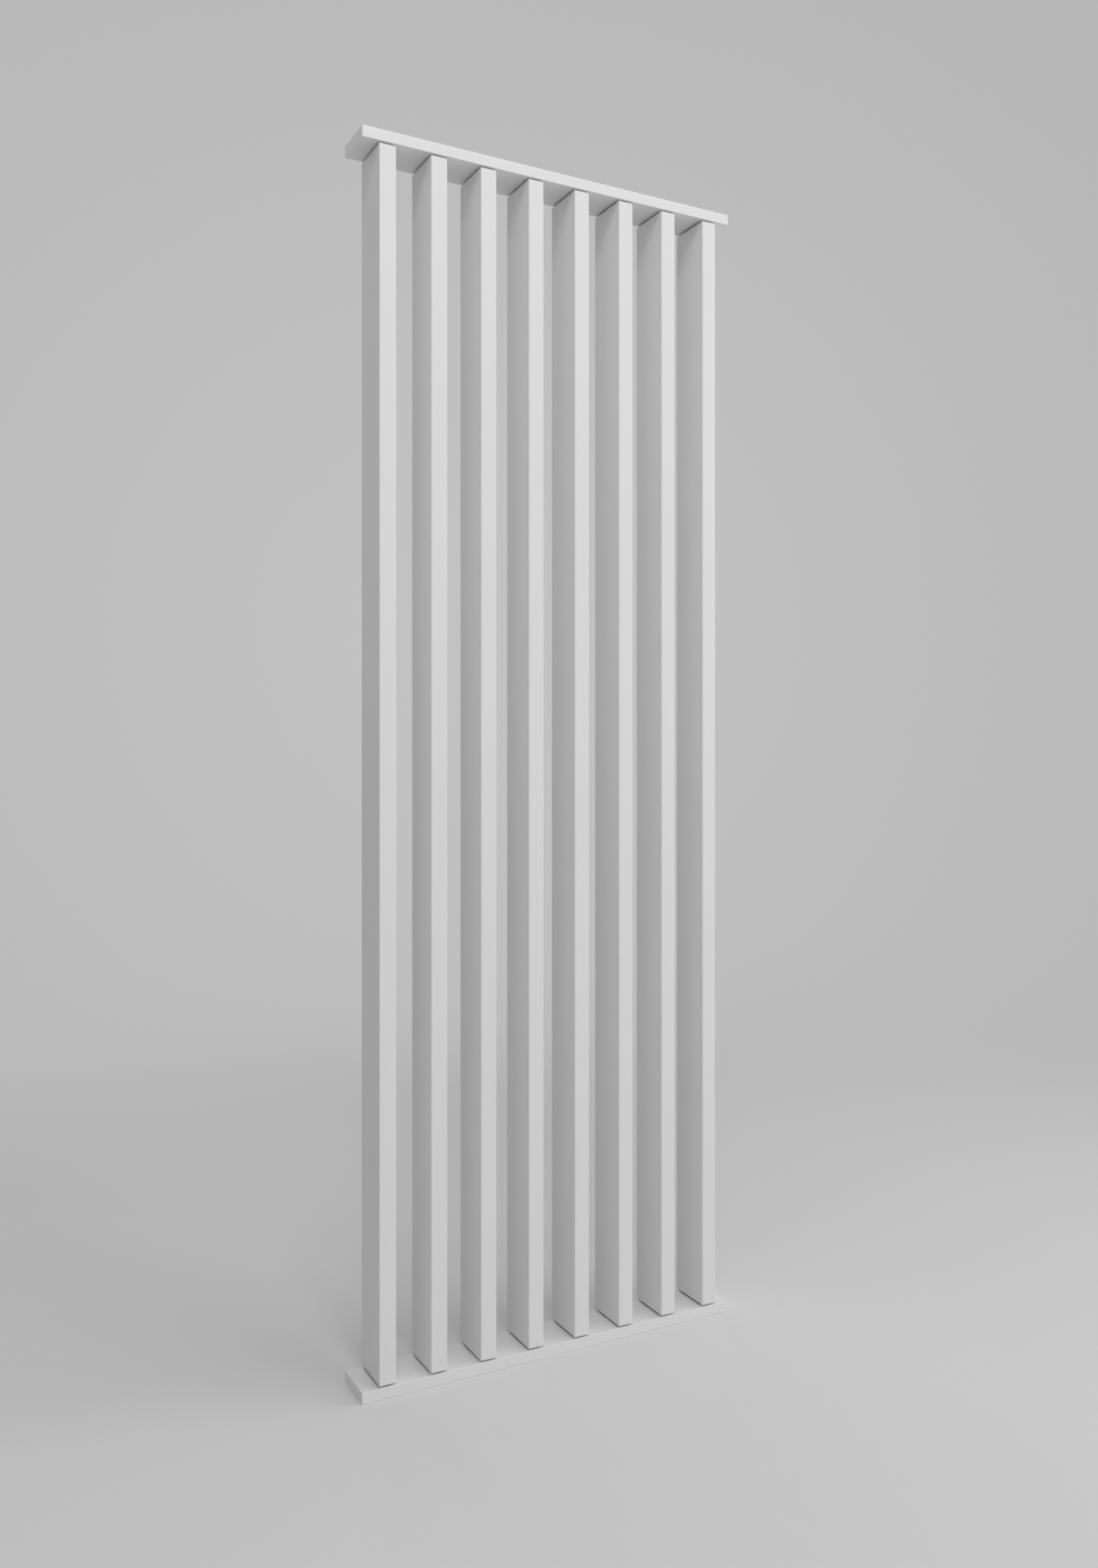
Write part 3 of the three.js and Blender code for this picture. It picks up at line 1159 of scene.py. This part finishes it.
class SLATS_OT_stage(bpy.types.Operator):
    """Set up the floor, the backdrop, the light and the camera"""

    bl_idname = "slats.stage"
    bl_label = "Stage"

    def execute(self, context):
        stage = context.scene.slat_divider.stage
        floor_and_backdrop(stage)
        for name in LAMPS:
            parts = ("power", "size", "place")
            setting = {part: getattr(stage, f"{name}_{part}") for part in parts}
            lamp(f"{name}_lamp", target=stage.lamp_target, **setting)
        sky(stage)
        camera(stage)
        context.scene.view_settings.view_transform = "Standard"
        return {"FINISHED"}


# ---- Panel and registration

GROUPS = (BoardSizes, SlatSizes, HardwareSizes, Finishes, StageSizes, DividerSettings)
OPERATORS = (
    SLATS_OT_stage,
    SLATS_OT_boards,
    SLATS_OT_slats,
    SLATS_OT_bushes,
    SLATS_OT_foot_pins,
    SLATS_OT_head_pins,
    SLATS_OT_head_springs,
)


class SLATS_PT_divider(bpy.types.Panel):
    """The operators that build the divider, and its settings"""

    bl_idname = "SLATS_PT_divider"
    bl_label = "Slat Divider"
    bl_space_type = "VIEW_3D"
    bl_region_type = "UI"
    bl_category = "Slat Divider"

    def draw(self, context):
        column = self.layout.column(align=True)
        for operator in OPERATORS:
            column.operator(operator.bl_idname)
        settings = context.scene.slat_divider
        for name in DividerSettings.__annotations__:
            box = self.layout.box()
            box.label(text=name.capitalize())
            group = getattr(settings, name)
            for setting in group.__annotations__:
                box.prop(group, setting)


def register():
    """Adds the settings, the operators and the panel to Blender."""
    for kind in (*GROUPS, *OPERATORS, SLATS_PT_divider):
        bpy.utils.register_class(kind)
    bpy.types.Scene.slat_divider = bpy.props.PointerProperty(type=DividerSettings)


def unregister():
    """Takes the settings, the operators and the panel out of Blender."""
    del bpy.types.Scene.slat_divider
    for kind in reversed((*GROUPS, *OPERATORS, SLATS_PT_divider)):
        bpy.utils.unregister_class(kind)


def main():
    """Builds the stage and every piece."""
    register()
    bpy.ops.slats.stage()
    bpy.ops.slats.boards()
    bpy.ops.slats.slats()
    bpy.ops.slats.bushes()
    bpy.ops.slats.foot_pins()
    bpy.ops.slats.head_pins()
    bpy.ops.slats.head_springs()


if __name__ == "__main__":
    main()
